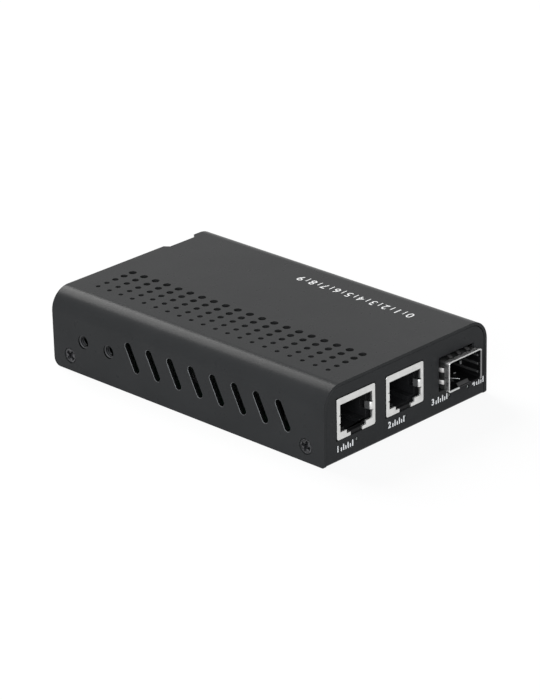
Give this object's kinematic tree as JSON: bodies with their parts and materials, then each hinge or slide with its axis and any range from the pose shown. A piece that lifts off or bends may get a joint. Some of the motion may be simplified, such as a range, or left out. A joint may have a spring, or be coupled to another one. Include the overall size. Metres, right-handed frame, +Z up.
{
  "type": "fibre media converter",
  "caption": "Flat black sheet-metal network box with rounded long edges, vent holes and slanted side slots, copper ports and a fibre module cage in the front, and a rear power socket.",
  "frame": {"origin": "centre of the flat underside of the box, midway between its sides and between the cover's front and rear edges; it is the point that rests on a shelf", "axes": "+Y from the port face to the rear face, along the longest side; +Z up out of the vented top, the shortest side; +X to the right when looking at the port face"},
  "size_m": [0.072, 0.1194, 0.025],
  "materials": {
    "black_coat": "fine-textured black powder coat on sheet steel",
    "black_zinc": "black zinc plate",
    "tinned_shield": "tinned sheet, semi-bright",
    "black_insert": "moulded, matt",
    "gold_contact": "gold plated",
    "nickel_cage": "nickel plated sheet, semi-bright",
    "spring_steel": "bright spring strip",
    "connector_black": "moulded, matt",
    "green_board": "solder-resist coated",
    "nickel_pillar": "nickel plated",
    "bright_zinc": "bright zinc plate",
    "lamp_resin": "clear moulded resin",
    "transformer_black": "moulded, semi-gloss",
    "chip_black": "moulded, matt",
    "can_nickel": "pressed can, bright",
    "ferrite": "ground ferrite, matt",
    "can_aluminium": "drawn can, satin",
    "socket_black": "moulded, semi-gloss",
    "pin_nickel": "nickel plated",
    "spring_bronze": "tinned bronze"
  },
  "bodies": {
    "root": {"top_cover": "black_coat", "chassis_tray": "black_coat", "cover_screws": "black_zinc", "ethernet_shield_left": "tinned_shield", "ethernet_shield_middle": "tinned_shield", "ethernet_insert_left": "black_insert", "ethernet_insert_middle": "black_insert", "ethernet_contacts_left": "gold_contact", "ethernet_contacts_middle": "gold_contact", "module_cage": "nickel_cage", "cage_spring_collar": "spring_steel", "cage_connector": "connector_black", "main_board": "green_board", "board_standoffs": "nickel_pillar", "board_screws": "bright_zinc", "status_lamp_1": "lamp_resin", "status_lamp_2": "lamp_resin", "status_lamp_3": "lamp_resin", "status_lamp_4": "lamp_resin", "line_transformer_left": "transformer_black", "line_transformer_middle": "transformer_black", "switch_chip": "chip_black", "transceiver_chip": "chip_black", "memory_chip": "chip_black", "voltage_regulator": "chip_black", "crystal_can": "can_nickel", "power_inductor": "ferrite", "input_capacitor": "can_aluminium", "output_capacitor": "can_aluminium", "power_socket_body": "socket_black", "power_socket_pin": "pin_nickel", "power_socket_spring": "spring_bronze"}
  },
  "joints": []
}
